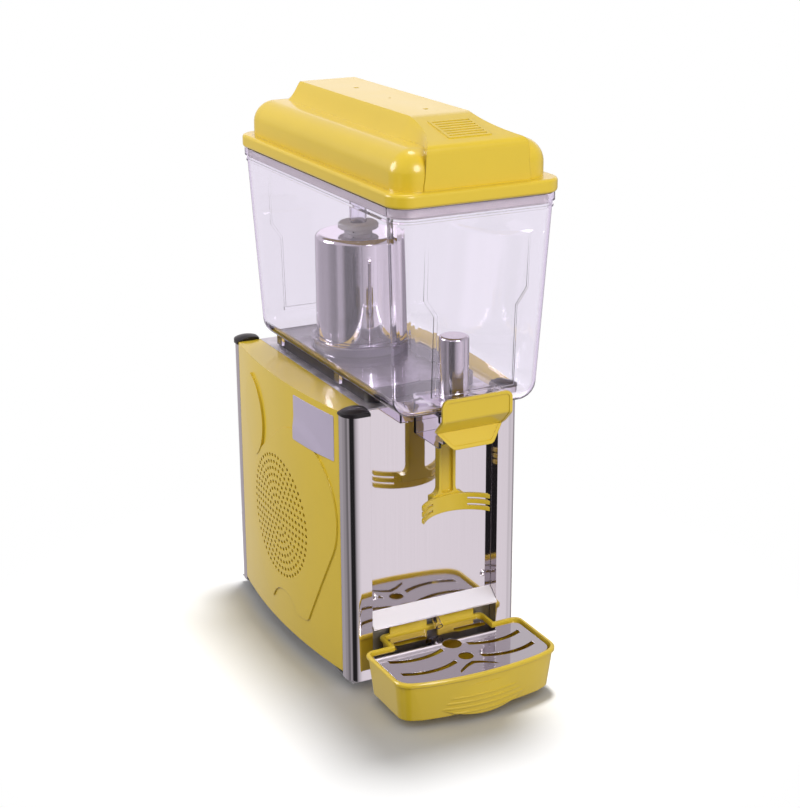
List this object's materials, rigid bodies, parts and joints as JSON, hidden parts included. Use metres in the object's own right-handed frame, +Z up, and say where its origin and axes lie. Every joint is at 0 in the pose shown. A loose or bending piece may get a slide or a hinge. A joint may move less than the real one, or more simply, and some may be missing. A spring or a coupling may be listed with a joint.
{
  "type": "cold drink dispenser",
  "caption": "Countertop cold drink dispenser: clear tapered bowl with a moulded lid over a slim cabinet, with a push-lever tap, drip tray and perforated side panels.",
  "frame": {"origin": "on the floor under the middle of the overall outline", "axes": "+Z up, -Y to the front where the tap and tray are, +X to the right seen from the front"},
  "size_m": [0.2372, 0.4466, 0.6337],
  "materials": {
    "yellow_plastic": "satin moulded",
    "clear_plastic": "clear moulded",
    "polished_steel": "polished stainless",
    "plated_plastic": "bright plated",
    "galvanised": "galvanised sheet",
    "black_plastic": "satin black",
    "white_plastic": "white",
    "grey_plastic": "grey",
    "red_plastic": "gloss red",
    "rubber": "matt",
    "silicone": "translucent silicone",
    "copper": "copper tube",
    "black_metal": "black enamel",
    "grey_metal": "grey enamel"
  },
  "bodies": {
    "cabinet": {"base_pan": "galvanised", "feet": "rubber", "foot_screws": "galvanised", "column_front_left": "polished_steel", "column_front_right": "polished_steel", "column_rear_left": "polished_steel", "column_rear_right": "polished_steel", "column_caps": "black_plastic", "side_panel_left": "yellow_plastic", "side_panel_right": "yellow_plastic", "splash_panel": "polished_steel", "splash_screws": "polished_steel", "lower_front_panel": "galvanised", "drain_tube": "clear_plastic", "tray_rails": "black_plastic", "rear_panel": "galvanised", "rear_screws": "galvanised", "deck": "galvanised", "bowl_seat": "black_plastic", "bowl_seal": "silicone", "cold_cylinder": "polished_steel", "evaporator_coil": "copper", "shaft_bush": "white_plastic", "pump_body": "white_plastic", "spray_tube": "clear_plastic", "agitator_motor": "grey_metal", "motor_bracket": "galvanised", "compressor": "black_metal", "compressor_mounts": "rubber", "terminal_cover": "black_plastic", "condenser": "copper", "fan_shroud": "galvanised", "fan_bracket": "galvanised", "fan_motor": "grey_metal", "filter_drier": "copper", "refrigerant_pipes": "copper", "thermostat": "grey_plastic", "switch_bezels": "black_plastic", "cord_gland": "black_plastic"},
    "bowl": {"bowl": "clear_plastic", "outlet_spout": "clear_plastic", "pivot_pin": "polished_steel"},
    "lid": {"lid": "yellow_plastic"},
    "tap": {"tap_lever": "yellow_plastic"},
    "plunger": {"valve_plunger": "plated_plastic", "plunger_seal": "silicone"},
    "tray": {"drip_tray": "yellow_plastic"},
    "grid": {"drip_grid": "polished_steel"},
    "agitator": {"drive_shaft": "polished_steel", "pump_impeller": "white_plastic"},
    "fan_wheel": {"fan": "grey_plastic"},
    "knob": {"thermostat_knob": "black_plastic"},
    "cooling_rocker": {"cooling_switch": "red_plastic"},
    "mixing_rocker": {"mixing_switch": "red_plastic"}
  },
  "joints": [
    {"name": "bowl_lift", "type": "slide", "parent": "cabinet", "child": "bowl", "axis": [0, 0, 1], "range_m": [0, 0.17]},
    {"name": "lid_lift", "type": "slide", "parent": "bowl", "child": "lid", "axis": [0, 0, 1], "range_m": [0, 0.15]},
    {"name": "tap_press", "type": "hinge", "parent": "bowl", "child": "tap", "pos_m": [0, -0.16725, 0.312], "axis": [1, 0, 0], "range_deg": [0, 14], "stiffness_Nm_per_rad": 0.6, "springref_deg": -8.59},
    {"name": "plunger_rise", "type": "slide", "parent": "bowl", "child": "plunger", "axis": [0, 0, 1], "range_m": [0, 0.008]},
    {"name": "tray_pull", "type": "slide", "parent": "cabinet", "child": "tray", "axis": [0, -1, 0], "range_m": [0, 0.12]},
    {"name": "grid_tip", "type": "hinge", "parent": "tray", "child": "grid", "pos_m": [0, -0.09975, 0.0519], "axis": [-1, 0, 0], "range_deg": [0, 14]},
    {"name": "agitator_spin", "type": "hinge", "parent": "cabinet", "child": "agitator", "pos_m": [0, 0.07875, 0.4], "axis": [0, 0, 1], "continuous": true},
    {"name": "fan_spin", "type": "hinge", "parent": "cabinet", "child": "fan_wheel", "pos_m": [-0.05, 0.05875, 0.154], "axis": [1, 0, 0], "continuous": true},
    {"name": "knob_turn", "type": "hinge", "parent": "cabinet", "child": "knob", "pos_m": [0.026, 0.21, 0.285], "axis": [0, 1, 0], "range_deg": [0, 270]},
    {"name": "cooling_toggle", "type": "hinge", "parent": "cabinet", "child": "cooling_rocker", "pos_m": [-0.048, 0.19955, 0.285], "axis": [1, 0, 0], "range_deg": [0, 16]},
    {"name": "mixing_toggle", "type": "hinge", "parent": "cabinet", "child": "mixing_rocker", "pos_m": [-0.018, 0.19955, 0.285], "axis": [1, 0, 0], "range_deg": [0, 16]}
  ],
  "couplings": [
    {"joint": "plunger_rise", "follows": "tap_press", "m_per_rad": 0.0285}
  ]
}
